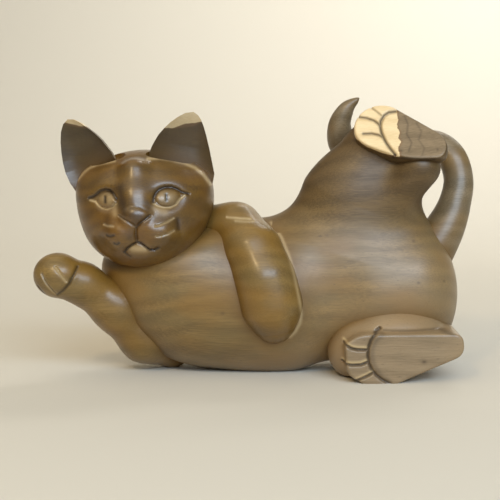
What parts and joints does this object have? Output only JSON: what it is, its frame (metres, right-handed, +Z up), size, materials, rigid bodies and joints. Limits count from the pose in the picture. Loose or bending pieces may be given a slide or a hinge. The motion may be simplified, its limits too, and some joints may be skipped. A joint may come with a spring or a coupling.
{
  "type": "carved wooden cat figure",
  "caption": "Hand-carved, waxed wooden cat lying on its back with one hind leg raised, tail curled behind it, a foreleg reaching out and the other folded.",
  "frame": {"origin": "middle of the footprint's bounding box, on the flat that the figure rests on", "axes": "+X from the reaching paw and the head towards the tail, -Y towards the side that the face and the soles look to, +Z up"},
  "size_m": [0.3252, 0.121, 0.2049],
  "materials": {
    "body_wood": "grey-brown wood, fine level grain, hand rubbed and waxed to a soft shine",
    "face_wood": "warm brown wood, waxed and burnished to a gloss",
    "ear_wood": "darker brown wood with pale sapwood at the tips, satin",
    "tail_wood": "grey-brown wood, waxed",
    "peg_wood": "plain turned hardwood dowel, glued"
  },
  "bodies": {
    "root": {"torso": "body_wood", "head": "face_wood", "ear_right": "ear_wood", "ear_left": "ear_wood", "foreleg_reaching": "body_wood", "foreleg_folded": "body_wood", "hind_leg_raised": "body_wood", "hind_leg_resting": "body_wood", "tail": "tail_wood", "neck_peg_1": "peg_wood", "neck_peg_2": "peg_wood", "raised_hip_peg_1": "peg_wood", "raised_hip_peg_2": "peg_wood", "ear_peg_right": "peg_wood", "ear_peg_left": "peg_wood", "reaching_shoulder_peg_1": "peg_wood", "reaching_shoulder_peg_2": "peg_wood", "folded_shoulder_peg_1": "peg_wood", "folded_shoulder_peg_2": "peg_wood", "resting_hip_peg_1": "peg_wood", "resting_hip_peg_2": "peg_wood", "tail_root_peg": "peg_wood", "tail_leg_peg": "peg_wood"}
  },
  "joints": []
}
